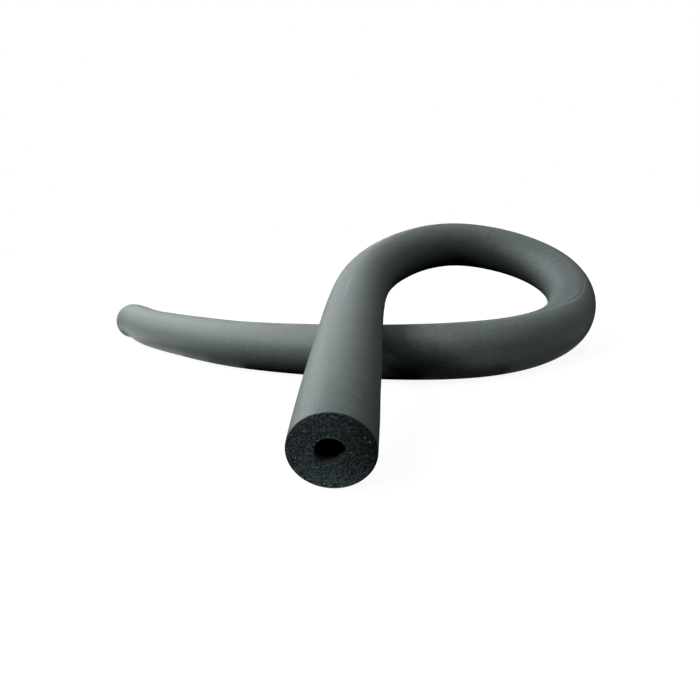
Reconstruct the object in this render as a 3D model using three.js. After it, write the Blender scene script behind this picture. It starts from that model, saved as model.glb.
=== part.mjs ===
import * as THREE from 'three';
import { NURBSCurve } from 'three/addons/curves/NURBSCurve.js';

// Pipe insulation lagging: one length of thick-walled foam tube, in millimetres, +Z up.
// It lies on a level floor in a single rising loop that passes over its own run.
// Seen from the front, X is to the right and Y goes away. The origin is the middle of the
// tube's bounding box, on the floor.

// Driving dimensions
const boreDiameter = 20;
const wallThickness = 19;
const tubeLength = 2000;

// Facets of the round section and steps along the tube
const outerSides = 24;
const boreSides = 12;
const lengthSteps = 96;

// Foam as seen: matt, dark grey with a touch of blue
const foamColour = 0x363b3e;
const foamRoughness = 0.78;

// Lay of the tube's axis, from the cut end at the front to the cut end at the back, in outer
// diameters from the crossing: x, y and height. The bends belong to the tube's thickness, so
// a thicker tube lies in a wider loop.
const layRatios = [
  // front run, rising from the cut end on the floor to the crossing
  [-0.28, -5.95, 0.47],
  [-0.21, -5.28, 0.72],
  [-0.05, -2.99, 1.01],
  [0.13, -0.23, 1.43],
  // arch, up, over and down to the right
  [0.54, 3.22, 1.93],
  [2.64, 5.76, 2.44],
  [5.18, 4.53, 1.51],
  [4.82, 2.35, 0.43],
  // return run along the floor, under the front run
  [2.42, -1.09, 0.53],
  [-0.48, 1.0, 0.51],
  [-2.42, 2.83, 0.5],
  // tail along the floor to the back
  [-3.96, 5.3, 0.5],
  [-5.82, 8.3, 0.5],
  [-6.29, 10.32, 0.5],
  [-7.49, 11.27, 0.5],
];
const layDegree = 3;
const layWeight = 1;
const laySamples = 4000;

const outerDiameter = boreDiameter + 2 * wallThickness;

// Knots of a uniform spline that starts and ends on its first and last points
function clampedKnots(pointCount, degree) {
  const knots = new Array(degree).fill(0);
  const spans = pointCount - degree;
  for (let span = 0; span <= spans; span += 1) {
    knots.push(span / spans);
  }
  return knots.concat(new Array(degree).fill(1));
}

function laySpline() {
  const points = layRatios.map(([x, y, height]) => {
    const place = new THREE.Vector3(x, y, height).multiplyScalar(outerDiameter);
    return new THREE.Vector4(place.x, place.y, place.z, layWeight);
  });
  const spline = new NURBSCurve(layDegree, clampedKnots(points.length, layDegree), points);
  spline.arcLengthDivisions = laySamples;
  return spline;
}

// The tube's axis, cut to length. Past the end of the spline it runs straight on.
class TubeAxis extends THREE.Curve {
  constructor(spline, length) {
    super();
    this.spline = spline;
    this.splineLength = spline.getLength();
    this.length = length;
  }

  getPoint(t, target = new THREE.Vector3()) {
    const distance = t * this.length;
    const onSpline = Math.min(distance, this.splineLength);
    target.copy(this.spline.getPointAt(onSpline / this.splineLength));
    return target.addScaledVector(this.spline.getTangent(1), distance - onSpline);
  }
}

function ring(diameter, sides) {
  const points = [];
  for (let side = 0; side < sides; side += 1) {
    const angle = (2 * Math.PI * side) / sides;
    points.push(new THREE.Vector2(Math.cos(angle), Math.sin(angle)).multiplyScalar(diameter / 2));
  }
  return points;
}

function tubeSection() {
  const section = new THREE.Shape(ring(outerDiameter, outerSides));
  section.holes.push(new THREE.Path(ring(boreDiameter, boreSides)));
  return section;
}

function makeTube() {
  const axis = new TubeAxis(laySpline(), tubeLength);
  const geometry = new THREE.ExtrudeGeometry(tubeSection(), {
    extrudePath: axis,
    steps: lengthSteps,
  });
  const material = new THREE.MeshStandardMaterial({
    color: foamColour,
    roughness: foamRoughness,
    metalness: 0,
  });
  const tube = new THREE.Mesh(geometry, material);
  tube.name = 'lagging_tube';
  return tube;
}

// Puts the origin in the middle of the tube's bounding box, at the floor
function standOnFloor(piece) {
  const box = new THREE.Box3().setFromObject(piece);
  const centre = box.getCenter(new THREE.Vector3());
  piece.position.set(-centre.x, -centre.y, -box.min.z);
}

const lagging = new THREE.Group();
const tube = makeTube();
standOnFloor(tube);
lagging.add(tube);

export default lagging;
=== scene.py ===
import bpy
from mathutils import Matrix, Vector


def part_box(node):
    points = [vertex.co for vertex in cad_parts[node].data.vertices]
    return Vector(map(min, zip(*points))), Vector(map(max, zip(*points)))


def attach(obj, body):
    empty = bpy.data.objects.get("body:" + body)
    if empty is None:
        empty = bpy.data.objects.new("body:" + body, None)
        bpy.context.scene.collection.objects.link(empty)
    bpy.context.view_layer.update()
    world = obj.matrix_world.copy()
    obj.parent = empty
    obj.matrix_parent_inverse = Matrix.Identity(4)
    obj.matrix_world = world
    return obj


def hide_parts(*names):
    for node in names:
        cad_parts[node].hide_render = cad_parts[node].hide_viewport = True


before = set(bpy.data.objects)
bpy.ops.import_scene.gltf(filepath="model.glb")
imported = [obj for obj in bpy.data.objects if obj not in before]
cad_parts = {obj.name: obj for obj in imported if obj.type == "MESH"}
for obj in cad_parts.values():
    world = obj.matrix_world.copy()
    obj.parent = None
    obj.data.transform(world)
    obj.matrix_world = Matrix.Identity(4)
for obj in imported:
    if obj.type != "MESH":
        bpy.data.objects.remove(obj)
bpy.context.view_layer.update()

import math

import bpy
import numpy as np
from mathutils import Matrix, Vector
from mathutils.geometry import delaunay_2d_cdt
from mathutils.kdtree import KDTree

# A length of thick-walled foam pipe insulation, lying in one rising loop, in metres.
# Seen from the front, X is to the right and Y goes away.

CAD_NODE = "lagging_tube"
SEED = 11

# Sizes of the tube
BORE = 0.020
WALL = 0.019
LENGTH = 2.0
OUTER = BORE + 2 * WALL
OUTER_RADIUS = OUTER / 2
BORE_RADIUS = BORE / 2

# Lay of the axis from the front cut end to the back one, in outer diameters from the
# crossing: x, y and height
LAY = [
    # Front run, rising from the floor to the crossing
    (-0.28, -5.95, 0.47),
    (-0.21, -5.28, 0.72),
    (-0.05, -2.99, 1.01),
    (0.13, -0.23, 1.43),
    # Arch, up, over and down to the right
    (0.54, 3.22, 1.93),
    (2.64, 5.76, 2.44),
    (5.18, 4.53, 1.51),
    (4.82, 2.35, 0.43),
    # Return run along the floor, under the front run
    (2.42, -1.09, 0.53),
    (-0.48, 1.0, 0.51),
    (-2.42, 2.83, 0.5),
    # Tail along the floor to the back
    (-3.96, 5.3, 0.5),
    (-5.82, 8.3, 0.5),
    (-6.29, 10.32, 0.5),
    (-7.49, 11.27, 0.5),
]
LAY_DEGREE = 3
LAY_SAMPLES = 6000

# Camera, placed in outer diameters from the crossing
CAMERA_BACK = 14.3
CAMERA_HEIGHT = 2.806
CAMERA_PITCH = math.radians(8.61)
CAMERA_ROLL = math.radians(-4.38)
PICTURE_SIDE = 700
FOCAL_PIXELS = 810.6
SENSOR = 36.0

# Fineness of the walls: points round them and rings along them
SKIN_SIDES = 112
SKIN_RINGS = 466
BORE_SIDES = 72
BORE_RINGS = 110
# Rings are closer together near the ends: over what length, how many, and how they crowd
SKIN_ENDS = (0.02, 12)
BORE_ENDS = (0.08, 30)
END_CROWDING = 1.5
# Fineness of a cut face: step of its points, their jitter and distance from the edges in steps
FACE_STEP = 0.00046
FACE_JITTER = 0.25
FACE_MARGIN = 0.6
# Its triangles are those inside the given edges, and points closer than this are one
INSIDE_EDGES = 1
SAME_POINT = 1e-9
# Height of a row of a triangular grid, in steps
ROW_PITCH = 0.866

# Material numbers in the mesh
SKIN, CUT, INNER = range(3)

# Soft boxes far away: name, azimuth, elevation and width in degrees, and strength
SOFT_BOXES = [
    ("left_high", -90, 55, 28, 2.84),
    ("back_left", -150, 30, 28, 1.61),
    ("front_high", 0, 55, 28, 0.77),
    ("back_right_low", 150, 30, 28, 0.08),
    ("left_middle", -100, 30, 10, 1.74),
    ("left_low", -120, 20, 10, 0.46),
    ("front_left", -50, 30, 10, 1.36),
    ("front_right", 60, 40, 10, 0.76),
    ("back_right", 135, 62, 10, 0.90),
    ("back", 180, 20, 10, 0.30),
]
# Sheets of light on the floor beside the tube, shining up: name, middle, size, turn and power
BOUNCE_CARDS = [
    ("bounce_tail", (-0.312, 0.19), (0.08, 0.40), 17, 0.300),
    ("bounce_end", (-0.43, 0.46), (0.10, 0.14), 17, 0.150),
    ("bounce_near", (0.27, -0.165), (0.10, 0.06), 35, 0.011),
    ("bounce_side", (0.40, -0.08), (0.08, 0.12), 0, 0.080),
    ("strip_front", (0.187, -0.195), (0.10, 0.03), 11.5, 0.0105),
]
# Sheets that reach under the tube's near side: name, distance along the tube and power
UNDER_CARDS = [
    ("under_side", 1.04, 0.0043),
    ("under_bend", 1.12, 0.0026),
    ("under_return", 1.20, 0.0008),
    ("under_tail_1", 1.53, 0.004),
    ("under_tail_2", 1.615, 0.009),
    ("under_tail_3", 1.70, 0.014),
    ("under_tail_4", 1.785, 0.016),
    ("under_tail_5", 1.87, 0.014),
    ("under_tail_6", 1.955, 0.014),
]
UNDER_SIZE = (0.085, 0.04)
UNDER_REACH = 0.015
CARD_LIFT = 0.0004
LIGHT_COLOUR = (0.94, 1.0, 1.0)
WHITE = (1, 1, 1, 1)
FLOOR_RADIUS = 30
FLOOR_SIDES = 96
FLOOR_TONE = 0.08
FLOOR_GLOW = 0.92

# Lengthwise seam near the top: step and reach of its finer mesh and its half width in degrees
SEAM_STEP = 1.5
SEAM_REACH = 18
SEAM_HALF = 3.0
SEAM_HEIGHT = 0.00004
# Its course, as distances along the tube, degrees round it and how plain it is
SEAM_COURSE = [
    (0.0, 349, 0.1), (0.25, 351, 0.1), (0.28, 352, 0.8), (0.35, 354.5, 0.9), (0.38, 355, 0.15),
    (0.5, 356, 0.15), (0.8, 357, 0.3), (0.87, 357.5, 0.9), (0.91, 358, 1.0), (0.94, 362.6, 1.0),
    (0.97, 366, 1.0), (0.99, 368, 1.0), (1.02, 376, 1.0), (1.05, 386.5, 1.0), (1.08, 389, 1.0),
    (1.15, 391, 0.8), (1.3, 391, 0.3),
]
# The course is smoothed over this length each way, from so many samples
SEAM_EASE = 0.012
SEAM_EASE_SAMPLES = 7
# A second line beside it at the bend, as distances, degrees from the seam and strengths
SECOND_LINE = [
    (0.945, 8, 0.0), (0.97, 11, 0.8), (0.985, 14, 0.8), (1.005, 15, 0.8), (1.02, 13, 0.8),
    (1.03, 8, 0.8), (1.045, 3, 0.8), (1.055, 0, 0.0),
]

# The bore's shift off the centre, and the rounding of a cut end's outer and inner edge
BORE_SHIFT = (0.0, -0.0009)
RIM_ROUND = 0.0004
MOUTH_ROUND = 0.0001
# Swell of the walls, from short and long waves
SWELL = 0.00012
SHORT_WAVE = 0.09
LONG_WAVE = 0.25
SHORT_SHARE = 0.6
LONG_SHARE = 0.8
WAVE_COUNT = 24
WAVE_SPREAD = (0.7, 1.6)

# Foam cells cut open: spacing, jitter in spacings, depth and the least and most share of it
CELL_SIZE = 0.0011
CELL_JITTER = 0.38
CELL_DEPTH = 0.00042
DEPTH_SHARES = (0.25, 1.0)
# A cell is at its full depth where the next centre is farther by this share of the spacing
CELL_SLOPE = 0.75
# The foam is denser at the rim: the cells deepen over this length, from this share of it on
DENSE_RIM = 0.0011
DENSE_START = 0.3
# Cut ends: distance along the tube, the way they face, seed and how light they are; the back face's
# half lightness is painted shade
CUT_ENDS = [
    (0.0, -1, SEED + 20, 1.0),
    (LENGTH, 1, SEED + 30, 0.5),
]
# A cut face is painted darker to one side, as painted shade, and lighter downward, as painted light
# from the floor: first and second order
PAINTED_SIDE_SHADE = (0.45, 0.4)
PAINTED_LOW_LIGHT = (0.3, 0.5)

# Colours: greys as darkest and lightest, and the tints that they are multiplied by
SKIN_TINT = (0.86, 1.03, 1.03)
SKIN_GREYS = (0.0415, 0.0455)
SKIN_SPECK = (0.2, 0.23, 0.23)
SEAM_LIGHT = 2.1
CUT_TINT = (0.79, 1.03, 1.07)
CUT_GREYS = (0.106, 0.128)
CUT_SPECK = (0.46, 0.5, 0.5)
INNER_GREYS = (0.009, 0.044)
# Sizes of the patterns
SKIN_PATCH = 0.045
SKIN_CLOUD = 0.006
SKIN_GRAIN = 0.0013
SKIN_PEBBLE = 0.0009
SKIN_DOTS = 0.018
CUT_PATCH = 0.006
CUT_CLOUD = 0.0018
CUT_CELL = 0.0016
CUT_GRIT = 0.00045
CUT_DOTS = 0.0042
INNER_CLOUD = 0.0018
INNER_GRAIN = 0.0012
# Between these two values lies most of a noise
NOISE_REACH = (0.3, 0.7)
NOISE_ROUGHNESS = 0.55
# Grey of a cell's wall, from the wall's middle to the pit, where the near-black is painted shade, and
# its height
WALL_GREYS_AND_PIT_SHADE = [(0.03, 1.0), (0.14, 0.6), (0.27, 0.02)]
WALL_HEIGHTS = [(0.0, 1.0), (0.35, 0.0)]


# Axis and camera

def unit(vectors):
    return vectors / np.linalg.norm(vectors, axis=-1, keepdims=True)


def bspline(points, degree, count):
    """Points of a clamped uniform spline at evenly spaced parameters."""
    spans = len(points) - degree
    knots = np.concatenate([np.zeros(degree), np.linspace(0, 1, spans + 1), np.ones(degree)])
    t = np.linspace(0, 1, count)
    steps = len(knots) - 1
    last = np.searchsorted(knots, 1.0) - 1
    shares = np.zeros((steps, count))
    for i in range(steps):
        inside = (knots[i] <= t) & (t < knots[i + 1])
        shares[i] = inside | ((i == last) & (t == 1.0))
    for order in range(1, degree + 1):
        higher = np.zeros((steps - order, count))
        for i in range(steps - order):
            low = knots[i + order] - knots[i]
            high = knots[i + order + 1] - knots[i + 1]
            if low > 0:
                higher[i] += (t - knots[i]) / low * shares[i]
            if high > 0:
                higher[i] += (knots[i + order + 1] - t) / high * shares[i + 1]
        shares = higher
    return shares.T @ points


class Axis:
    """The tube's axis, with a frame that turns along it without twisting."""

    def __init__(self, offset):
        self.point = bspline(np.array(LAY) * OUTER, LAY_DEGREE, LAY_SAMPLES) + offset
        step = np.linalg.norm(np.diff(self.point, axis=0), axis=1)
        self.run = np.concatenate([[0], np.cumsum(step)])
        self.tangent = unit(np.gradient(self.point, self.run, axis=0))
        side = np.cross(self.tangent[0], (0, 0, 1))
        ups = [unit(np.cross(side, self.tangent[0]))]
        for tangent in self.tangent[1:]:
            ups.append(unit(ups[-1] - tangent * (ups[-1] @ tangent)))
        self.up = np.array(ups)

    def between(self, runs, rows):
        return np.stack([np.interp(runs, self.run, rows[:, k]) for k in range(3)], -1)

    def at(self, runs):
        """Places, tangents and the two cross directions at distances along the tube."""
        place = self.between(runs, self.point)
        tangent = unit(self.between(runs, self.tangent))
        up = self.between(runs, self.up)
        up = unit(up - tangent * (up * tangent).sum(-1, keepdims=True))
        return place, tangent, up, np.cross(tangent, up)


def lay_offset():
    """How far the lay moves so that the tube fills the box of its CAD node."""
    axis = Axis(np.zeros(3))
    place, tangent, _, _ = axis.at(np.linspace(0, LENGTH, LAY_SAMPLES))
    reach = OUTER_RADIUS * np.sqrt(1 - tangent ** 2)
    low, high = (place - reach).min(0), (place + reach).max(0)
    cad_low, cad_high = (np.array(corner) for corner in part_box(CAD_NODE))
    offset = (cad_low + cad_high - low - high) / 2
    offset[2] = cad_low[2] - low[2]
    return offset


def make_camera(offset):
    """The photograph's view, in front of the crossing and looking a little down."""
    ahead = Vector((0, math.cos(CAMERA_PITCH), -math.sin(CAMERA_PITCH)))
    level_up = Vector((0, math.sin(CAMERA_PITCH), math.cos(CAMERA_PITCH)))
    right = math.cos(CAMERA_ROLL) * Vector((1, 0, 0)) + math.sin(CAMERA_ROLL) * level_up
    up = right.cross(ahead)
    place = Vector(offset) + Vector((0, -CAMERA_BACK, CAMERA_HEIGHT)) * OUTER
    data = bpy.data.cameras.new("camera")
    data.sensor_width = SENSOR
    data.lens = SENSOR * FOCAL_PIXELS / PICTURE_SIDE
    camera = bpy.data.objects.new("camera", data)
    turn = Matrix((right, up, -ahead)).transposed().to_4x4()
    camera.matrix_world = Matrix.Translation(place) @ turn
    bpy.context.scene.collection.objects.link(camera)
    bpy.context.scene.camera = camera
    return camera


# Walls of the tube

class Waves:
    """Smooth noise over space, a sum of seeded sine waves about `size` metres long."""

    def __init__(self, seed, size):
        draw = np.random.default_rng(seed)
        direction = unit(draw.normal(size=(WAVE_COUNT, 3)))
        length = size * draw.uniform(*WAVE_SPREAD, (WAVE_COUNT, 1))
        self.wave = direction * (2 * math.pi / length)
        self.phase = draw.uniform(0, 2 * math.pi, WAVE_COUNT)
        self.scale = math.sqrt(2 / WAVE_COUNT)

    def __call__(self, points):
        return self.scale * np.sin(points @ self.wave.T + self.phase).sum(-1)


def ring_angles():
    """Angles of the skin's points from the seam, closer together at it, in degrees."""
    fine = np.arange(0, SEAM_REACH + SEAM_STEP, SEAM_STEP)
    rest = np.linspace(SEAM_REACH + 2 * SEAM_STEP, 360 - 2 * SEAM_HALF, SKIN_SIDES)
    return np.concatenate([fine, rest, [360 - 2 * SEAM_STEP, 360 - SEAM_STEP]])


def ring_runs(count, ends, inset):
    """Distances of a wall's rings along the tube, closer together near both cut ends."""
    reach, share = ends
    near = reach * np.linspace(0, 1, share, endpoint=False) ** END_CROWDING
    inner = np.linspace(reach, LENGTH - reach, count - 2 * share)
    runs = np.concatenate([near, inner, LENGTH - near[::-1]])
    runs[0], runs[-1] = inset, LENGTH - inset
    return runs


def seam_course(runs):
    """Where the seam lies round the tube, in degrees, and how plain it is, at distances along it."""
    distance, angle, plain = np.array(SEAM_COURSE).T
    near = [runs + ease for ease in np.linspace(-SEAM_EASE, SEAM_EASE, SEAM_EASE_SAMPLES)]
    return np.mean(np.interp(near, distance, angle), 0), np.mean(np.interp(near, distance, plain), 0)


def seam_profile(angles):
    """A soft bump over the seam: 1 on it and 0 from its half width on."""
    away = np.abs((angles + 180) % 360 - 180)
    rise = np.clip(1 - away / SEAM_HALF, 0, 1)
    return rise * rise * (3 - 2 * rise)


def seam_lines(angles, runs):
    """How much each skin point lies on the seam or on the second line beside it."""
    distance, place, strength = np.array(SECOND_LINE).T
    second = seam_profile(angles - np.interp(runs, distance, place)[:, None])
    share = np.interp(runs, distance, strength, left=0, right=0)
    _, plain = seam_course(runs)
    return np.maximum(plain[:, None] * seam_profile(angles), share[:, None] * second)


def tube_wall(axis, radii, angles, runs, swell, shift=(0, 0)):
    """Rows of points round the axis, one row for each distance along it."""
    place, _, up, side = axis.at(runs)
    place = place + shift[0] * up + shift[1] * side
    turn = np.radians(angles)[..., None]
    out = up[:, None] * np.cos(turn) + side[:, None] * np.sin(turn)
    points = place[:, None] + radii[..., None] * out
    return points + out * swell(points)[..., None]


def wall_faces(first, sides, rings, outward):
    """Quads between rings of points, wound so that their normals point outward or inward."""
    ring = np.arange(rings - 1)[:, None] * sides + first
    here = np.arange(sides)[None, :]
    after = (here + 1) % sides
    a, b, c, d = ring + here, ring + after, ring + sides + after, ring + sides + here
    quads = np.stack([a, b, c, d] if outward else [a, d, c, b], -1)
    return quads.reshape(-1, 4).tolist()


class MeshParts:
    """Collects points, faces, material numbers and marks for one mesh."""

    def __init__(self):
        self.points, self.faces, self.materials = [], [], []
        self.seams, self.tones, self.crisp = [], [], []
        self.count = 0

    def add_points(self, points):
        first = self.count
        self.points.append(points.reshape(-1, 3))
        self.count += len(self.points[-1])
        return first

    def add_faces(self, faces, material):
        self.faces.extend(faces)
        self.materials.extend([material] * len(faces))

    def add_wall(self, points, outward, material):
        """Adds a wall and returns the point numbers of its first and last ring."""
        rings, sides = points.shape[:2]
        first = self.add_points(points)
        last = first + (rings - 1) * sides
        self.add_faces(wall_faces(first, sides, rings, outward), material)
        return range(first, first + sides), range(last, last + sides)

    def values(self, rows, rest):
        """A value for each point: from rows of (first point, values), and the rest elsewhere."""
        values = np.full(self.count, rest)
        for first, row in rows:
            values[first: first + len(row)] = row
        return values


def add_skin(parts, axis):
    """The outer wall with its seam. Returns its end rings and the outlines of its cut faces."""
    short, long = Waves(SEED, SHORT_WAVE), Waves(SEED + 1, LONG_WAVE)

    def swell(points):
        return SWELL * (SHORT_SHARE * short(points) + LONG_SHARE * long(points))

    from_seam = ring_angles()
    runs = ring_runs(SKIN_RINGS, SKIN_ENDS, RIM_ROUND)
    angles = from_seam + seam_course(runs)[0][:, None]
    radii = OUTER_RADIUS + SEAM_HEIGHT * seam_profile(from_seam)
    rings = parts.add_wall(tube_wall(axis, radii, angles, runs, swell), True, SKIN)
    parts.seams.append((rings[0].start, seam_lines(from_seam, runs).ravel()))
    return rings, [outline(radii - RIM_ROUND, np.radians(row)) for row in (angles[0], angles[-1])]


def add_bore(parts, axis):
    """The inner wall, a little off the centre. Returns its end rings."""
    short = Waves(SEED, SHORT_WAVE)

    def swell(points):
        return SWELL * short(points)

    runs = ring_runs(BORE_RINGS, BORE_ENDS, MOUTH_ROUND)
    angles = np.linspace(0, 360, BORE_SIDES, endpoint=False)
    radii = np.full(BORE_SIDES, BORE_RADIUS)
    wall = tube_wall(axis, radii, angles, runs, swell, BORE_SHIFT)
    return parts.add_wall(wall, False, INNER)


# Cut faces

def outline(radii, turns):
    """Points round a cut face, as (x, y) at each radius and turn."""
    return np.reshape(radii, (-1, 1)) * np.stack([np.cos(turns), np.sin(turns)], -1)


def triangular_grid(rows, columns, step, extent):
    """Points of a triangular grid, from minus the extent on in x and in y."""
    y, x = np.mgrid[0:rows, 0:columns].astype(float)
    x = (x + 0.5 * (y % 2)) * step - extent
    y = y * step * ROW_PITCH - extent
    return np.stack([x.ravel(), y.ravel()], -1)


def cell_relief(points, seed):
    """How deep the cut cells are at each point: nothing on the walls between them."""
    draw = np.random.default_rng(seed)
    extent = OUTER_RADIUS + CELL_SIZE
    rows = int(2 * extent / (CELL_SIZE * ROW_PITCH)) + 2
    columns = int(2 * extent / CELL_SIZE) + 2
    centres = triangular_grid(rows, columns, CELL_SIZE, extent)
    centres += draw.uniform(-CELL_JITTER, CELL_JITTER, centres.shape) * CELL_SIZE
    depth = draw.uniform(*DEPTH_SHARES, len(centres))
    tree = KDTree(len(centres))
    for i, (x, y) in enumerate(centres):
        tree.insert((x, y, 0), i)
    tree.balance()
    sink = np.zeros(len(points))
    for k, (x, y) in enumerate(points):
        (_, nearest, near), (_, _, next_near) = tree.find_n((x, y, 0), 2)
        bowl = min(1.0, (next_near - near) / (CELL_SLOPE * CELL_SIZE))
        sink[k] = CELL_DEPTH * depth[nearest] * bowl
    return sink


def ring_edges(first, count):
    return [(first + i, first + (i + 1) % count) for i in range(count)]


def cut_face(seed, rim):
    """A flat ring of triangles between the bore and the rim, with its cells cut open.

    Returns points (x, y, sink) and triangles. The points start with the rim, in order
    round the axis, and then the bore's mouth.
    """
    draw = np.random.default_rng(seed)
    shift = np.array(BORE_SHIFT)
    turns = np.linspace(0, 2 * math.pi, BORE_SIDES, endpoint=False)
    mouth = outline(BORE_RADIUS + MOUTH_ROUND, turns) + shift
    columns = int(OUTER / FACE_STEP) + 1
    inner = triangular_grid(int(columns / ROW_PITCH) + 1, columns, FACE_STEP, OUTER_RADIUS)
    inner += draw.uniform(-FACE_JITTER, FACE_JITTER, inner.shape) * FACE_STEP
    margin = RIM_ROUND + FACE_MARGIN * FACE_STEP
    inside = np.hypot(*inner.T) < OUTER_RADIUS - margin
    outside = np.hypot(*(inner - shift).T) > BORE_RADIUS + margin
    flat = np.concatenate([rim, mouth, inner[inside & outside]])
    edges = ring_edges(0, len(rim)) + ring_edges(len(rim), BORE_SIDES)
    spots = [Vector(p) for p in flat.tolist()]
    found = delaunay_2d_cdt(spots, edges, [], INSIDE_EDGES, SAME_POINT, False)
    mouth_points = set(range(len(rim), len(rim) + BORE_SIDES))
    triangles = [t for t in found[2] if not mouth_points.issuperset(t)]
    sink = cell_relief(flat, seed + 1)
    sink *= np.clip((OUTER_RADIUS - np.hypot(*flat.T)) / DENSE_RIM - DENSE_START, 0, 1)
    sink[: len(rim) + BORE_SIDES] = 0
    return np.column_stack([flat, sink]), triangles


def painted_cut_shade(flat, light):
    """Painted shade and light over a cut face's breadth: painted shade to one side and painted light
    low down.
    """
    across, down = flat[:, 1] / OUTER_RADIUS, -flat[:, 0] / OUTER_RADIUS
    side_shade = 1 - PAINTED_SIDE_SHADE[0] * across - PAINTED_SIDE_SHADE[1] * across ** 2
    rise = 1 + PAINTED_LOW_LIGHT[0] * down + PAINTED_LOW_LIGHT[1] * down ** 2
    return light * side_shade * rise


def bridge(outer, inner, flip):
    """Quads between two rings of as many points."""
    faces = []
    for i in range(len(outer)):
        j = (i + 1) % len(outer)
        quad = (outer[i], outer[j], inner[j], inner[i])
        faces.append(quad[::-1] if flip else quad)
    return faces


def add_cut_end(parts, axis, end, rim, skin_ring, bore_ring):
    """Closes one end of the tube with its cut face, joined to the skin and the bore."""
    # light is how light the cut face is painted; at the back end it is painted shade
    run, direction, seed, light = end
    place, tangent, up, side = (rows[0] for rows in axis.at(np.array([run])))
    flat, triangles = cut_face(seed, rim)
    spots = place + flat[:, :1] * up + flat[:, 1:2] * side
    spots = spots - direction * flat[:, 2:3] * tangent
    first = parts.add_points(spots)
    turned = direction > 0
    faces = [tuple(first + i for i in (t if turned else t[::-1])) for t in triangles]
    parts.add_faces(faces, CUT)
    # The cut face's colour gets its painted shade and painted light
    parts.tones.append((first, painted_cut_shade(flat, light)))
    face_rim = range(first, first + len(rim))
    face_mouth = range(first + len(rim), first + len(rim) + BORE_SIDES)
    parts.add_faces(bridge(face_rim, skin_ring, turned), SKIN)
    parts.add_faces(bridge(face_mouth, bore_ring, not turned), CUT)
    parts.crisp.extend(face_mouth)


def mark(mesh, name, kind, domain, values):
    mesh.attributes.new(name, kind, domain).data.foreach_set("value", values)


def make_tube(axis, materials):
    """The whole tube as one closed mesh: skin, bore and two cut faces."""
    parts = MeshParts()
    skin_rings, rims = add_skin(parts, axis)
    bore_rings = add_bore(parts, axis)
    for end, rim, skin_ring, bore_ring in zip(CUT_ENDS, rims, skin_rings, bore_rings):
        add_cut_end(parts, axis, end, rim, skin_ring, bore_ring)

    mesh = bpy.data.meshes.new("foam_tube")
    mesh.from_pydata(np.concatenate(parts.points).tolist(), [], parts.faces)
    mesh.polygons.foreach_set("material_index", parts.materials)
    mesh.polygons.foreach_set("use_smooth", [True] * len(parts.faces))
    for material in materials:
        mesh.materials.append(material)
    mark(mesh, "seam", "FLOAT", "POINT", parts.values(parts.seams, 0.0))
    # Painted shade and painted light of the cut faces, a factor on their colour
    mark(mesh, "painted_cut_shade", "FLOAT", "POINT", parts.values(parts.tones, 1.0))
    edge_points = np.zeros(2 * len(mesh.edges), int)
    mesh.edges.foreach_get("vertices", edge_points)
    crisp = np.isin(edge_points.reshape(-1, 2), parts.crisp).all(1)
    mark(mesh, "sharp_edge", "BOOLEAN", "EDGE", crisp)
    mesh.update()
    piece = bpy.data.objects.new("foam_tube", mesh)
    bpy.context.scene.collection.objects.link(piece)
    return piece


# Materials

def new_material(name, roughness, specular=0.5):
    material = bpy.data.materials.new(name)
    material.use_nodes = True
    tree = material.node_tree
    tree.nodes.clear()
    output = tree.nodes.new("ShaderNodeOutputMaterial")
    shader = tree.nodes.new("ShaderNodeBsdfPrincipled")
    shader.inputs["Roughness"].default_value = roughness
    shader.inputs["Specular IOR Level"].default_value = specular
    tree.links.new(shader.outputs["BSDF"], output.inputs["Surface"])
    coords = tree.nodes.new("ShaderNodeTexCoord")
    return material, tree, shader, coords.outputs["Object"]


def noise(tree, place, size, detail=2.0):
    node = tree.nodes.new("ShaderNodeTexNoise")
    node.inputs["Scale"].default_value = 1 / size
    node.inputs["Detail"].default_value = detail
    node.inputs["Roughness"].default_value = NOISE_ROUGHNESS
    tree.links.new(place, node.inputs["Vector"])
    return node.outputs["Fac"]


def voronoi(tree, place, size, feature="F1"):
    node = tree.nodes.new("ShaderNodeTexVoronoi")
    node.feature = feature
    node.inputs["Scale"].default_value = 1 / size
    tree.links.new(place, node.inputs["Vector"])
    return node


def marked(tree, name):
    """The value that the mesh's points have under this name."""
    node = tree.nodes.new("ShaderNodeAttribute")
    node.attribute_name = name
    return node.outputs["Fac"]


def ramp(tree, factor, stops, tint=(1.0, 1.0, 1.0)):
    """A tinted grey between positions; a stop is (position, grey)."""
    node = tree.nodes.new("ShaderNodeValToRGB")
    elements = node.color_ramp.elements
    while len(elements) < len(stops):
        elements.new(0.5)
    for element, (position, grey) in zip(elements, stops):
        element.position = position
        element.color = (*(grey * part for part in tint), 1)
    tree.links.new(factor, node.inputs["Fac"])
    return node.outputs["Color"]


def swing(tree, factor, reach, values):
    """A grey that runs between two values while the factor crosses its reach."""
    node = tree.nodes.new("ShaderNodeMapRange")
    for name, value in zip(("From Min", "From Max", "To Min", "To Max"), (*reach, *values)):
        node.inputs[name].default_value = value
    tree.links.new(factor, node.inputs["Value"])
    return node.outputs["Result"]


def mix(tree, factor, first, second, kind="MIX"):
    """Mixes two colours. The factor may be a number, and the second colour a constant."""
    node = tree.nodes.new("ShaderNodeMix")
    node.data_type = "RGBA"
    node.blend_type = kind
    if isinstance(factor, float):
        node.inputs["Factor"].default_value = factor
    else:
        tree.links.new(factor, node.inputs["Factor"])
    tree.links.new(first, node.inputs["A"])
    if isinstance(second, tuple):
        node.inputs["B"].default_value = (*second, 1)
    else:
        tree.links.new(second, node.inputs["B"])
    return node.outputs["Result"]


def product(tree, *colours):
    result = colours[0]
    for colour in colours[1:]:
        result = mix(tree, 1.0, result, colour, "MULTIPLY")
    return result


def bump(tree, height, strength, distance, normal=None):
    node = tree.nodes.new("ShaderNodeBump")
    node.inputs["Strength"].default_value = strength
    node.inputs["Distance"].default_value = distance
    tree.links.new(height, node.inputs["Height"])
    if normal is not None:
        tree.links.new(normal, node.inputs["Normal"])
    return node.outputs["Normal"]


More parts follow.
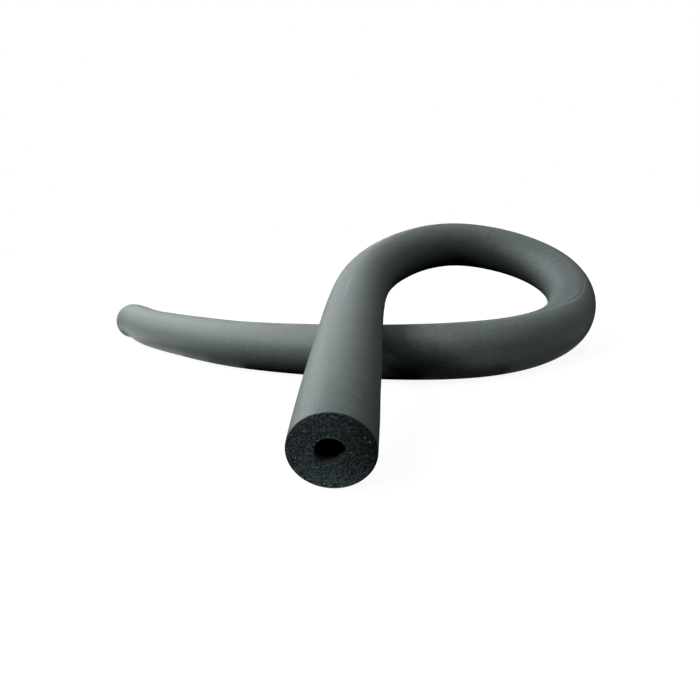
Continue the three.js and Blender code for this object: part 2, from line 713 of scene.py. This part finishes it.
def speckles(tree, place, spacing, edge, chosen):
    """Small dots in some of a pattern's cells: where a dot fades, and from where a cell has one."""
    cells = voronoi(tree, place, spacing)
    dot = ramp(tree, cells.outputs["Distance"], list(zip(edge, (1.0, 0.0))))
    has_dot = ramp(tree, cells.outputs["Color"], list(zip(chosen, (0.0, 1.0))))
    return product(tree, dot, has_dot)


def skin_material():
    """Matt skin, cloudy and finely grained, with a pale seam and a few pale dots."""
    material, tree, shader, place = new_material("foam_skin", roughness=0.65)
    broad = noise(tree, place, SKIN_PATCH)
    base = ramp(tree, broad, list(zip(NOISE_REACH, SKIN_GREYS)), SKIN_TINT)
    cloudy = swing(tree, noise(tree, place, SKIN_CLOUD), NOISE_REACH, values=(0.86, 1.14))
    grain = swing(tree, noise(tree, place, SKIN_GRAIN), NOISE_REACH, values=(0.66, 1.34))
    seam = swing(tree, marked(tree, "seam"), reach=(0.0, 1.0), values=(1.0, SEAM_LIGHT))
    dots = speckles(tree, place, SKIN_DOTS, edge=(0.024, 0.036), chosen=(0.74, 0.76))
    foam = product(tree, base, cloudy, grain, seam)
    tree.links.new(mix(tree, dots, foam, SKIN_SPECK), shader.inputs["Base Color"])
    pebble = bump(tree, noise(tree, place, SKIN_PEBBLE), strength=0.3, distance=0.0002)
    tree.links.new(pebble, shader.inputs["Normal"])
    return material


def cut_material():
    """Cut cells with pits painted black as painted shade, in a network of grey walls, with a few pale
    specks.
    """
    material, tree, shader, place = new_material("foam_cut_face", roughness=0.9, specular=0.25)
    cells = voronoi(tree, place, CUT_CELL, "DISTANCE_TO_EDGE").outputs["Distance"]
    # Grey walls, with painted shade darkening each cell's pit
    walls_and_pit_shade = ramp(tree, cells, WALL_GREYS_AND_PIT_SHADE)
    patchy = swing(tree, noise(tree, place, CUT_CLOUD), reach=(0.33, 0.67), values=(0.4, 1.6))
    broad = noise(tree, place, CUT_PATCH)
    base = ramp(tree, broad, list(zip(NOISE_REACH, CUT_GREYS)), CUT_TINT)
    dots = speckles(tree, place, CUT_DOTS, edge=(0.08, 0.13), chosen=(0.60, 0.64))
    # The cut face's colour is multiplied by its painted shade and painted light
    foam = product(tree, base, walls_and_pit_shade, patchy, marked(tree, "painted_cut_shade"))
    tree.links.new(mix(tree, dots, foam, CUT_SPECK), shader.inputs["Base Color"])
    ridges = bump(tree, ramp(tree, cells, WALL_HEIGHTS), strength=0.6, distance=0.0004)
    grit = voronoi(tree, place, CUT_GRIT).outputs["Distance"]
    rough = bump(tree, grit, strength=0.4, distance=0.0002, normal=ridges)
    tree.links.new(rough, shader.inputs["Normal"])
    return material


def bore_material():
    """Dark, mottled and rough foam inside the bore."""
    material, tree, shader, place = new_material("foam_bore", roughness=0.8)
    mottle = noise(tree, place, INNER_CLOUD, detail=3.0)
    tone = ramp(tree, mottle, list(zip((0.32, 0.68), INNER_GREYS)), CUT_TINT)
    tree.links.new(tone, shader.inputs["Base Color"])
    grain = noise(tree, place, INNER_GRAIN, detail=3.0)
    rough = bump(tree, grain, strength=0.5, distance=0.0004)
    tree.links.new(rough, shader.inputs["Normal"])
    return material


# Studio

def make_floor():
    """A white floor that lights nothing, so that the soft boxes and cards alone do."""
    bpy.ops.mesh.primitive_circle_add(vertices=FLOOR_SIDES, radius=FLOOR_RADIUS, fill_type="NGON")
    floor = bpy.context.object
    floor.name = "floor"
    material, _, shader, _ = new_material("floor_white", roughness=1.0, specular=0.0)
    shader.inputs["Base Color"].default_value = (FLOOR_TONE, FLOOR_TONE, FLOOR_TONE, 1)
    shader.inputs["Emission Color"].default_value = WHITE
    shader.inputs["Emission Strength"].default_value = FLOOR_GLOW
    floor.data.materials.append(material)
    floor.visible_diffuse = False
    floor.visible_glossy = False


def make_world():
    """A white surround that only the camera sees."""
    world = bpy.data.worlds.new("studio")
    world.use_nodes = True
    background = world.node_tree.nodes["Background"]
    background.inputs["Color"].default_value = WHITE
    background.inputs["Strength"].default_value = 1.0
    world.cycles_visibility.diffuse = False
    world.cycles_visibility.glossy = False
    bpy.context.scene.world = world


def new_light(name, kind, power):
    data = bpy.data.lights.new(name, kind)
    data.color = LIGHT_COLOUR
    data.energy = power
    light = bpy.data.objects.new(name, data)
    bpy.context.scene.collection.objects.link(light)
    return light


def soft_box(name, azimuth, elevation, width, strength):
    """A distant soft box. Azimuth 0 is at the front and 90 at the right, as one looks at the loop."""
    light = new_light(name, "SUN", strength)
    light.data.angle = math.radians(width)
    turn, rise = math.radians(azimuth), math.radians(elevation)
    level = math.cos(rise)
    back = Vector((math.sin(turn) * level, -math.cos(turn) * level, math.sin(rise)))
    light.rotation_mode = "QUATERNION"
    light.rotation_quaternion = back.to_track_quat("Z", "Y")


def bounce_card(name, middle, size, turn, power):
    """A sheet of light on the floor that shines upward and that the camera doesn't see."""
    card = new_light(name, "AREA", power)
    card.data.shape = "RECTANGLE"
    card.data.size, card.data.size_y = size
    card.location = (*middle, CARD_LIFT)
    card.rotation_euler = (math.pi, 0, math.radians(turn))
    card.visible_camera = False


def under_card(axis, eye, name, run, power):
    """A sheet of light on the floor that reaches under the side of the tube towards the eye."""
    place, tangent, _, _ = axis.at(np.array([run]))
    along = unit(tangent[0, :2])
    near = np.array([along[1], -along[0]])
    near *= np.sign(near @ (eye - place[0, :2]))
    middle = place[0, :2] + UNDER_REACH * near
    turn = math.degrees(math.atan2(along[1], along[0]))
    bounce_card(name, tuple(middle), UNDER_SIZE, turn, power)


def make_studio(axis, camera):
    make_floor()
    make_world()
    for box in SOFT_BOXES:
        soft_box(*box)
    for card in BOUNCE_CARDS:
        bounce_card(*card)
    eye = np.array(camera.location)[:2]
    for card in UNDER_CARDS:
        under_card(axis, eye, *card)


offset = lay_offset()
camera = make_camera(offset)
axis = Axis(offset)
tube = make_tube(axis, [skin_material(), cut_material(), bore_material()])
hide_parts(CAD_NODE)
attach(tube, "root")
make_studio(axis, camera)
bpy.context.scene.view_settings.view_transform = "Standard"
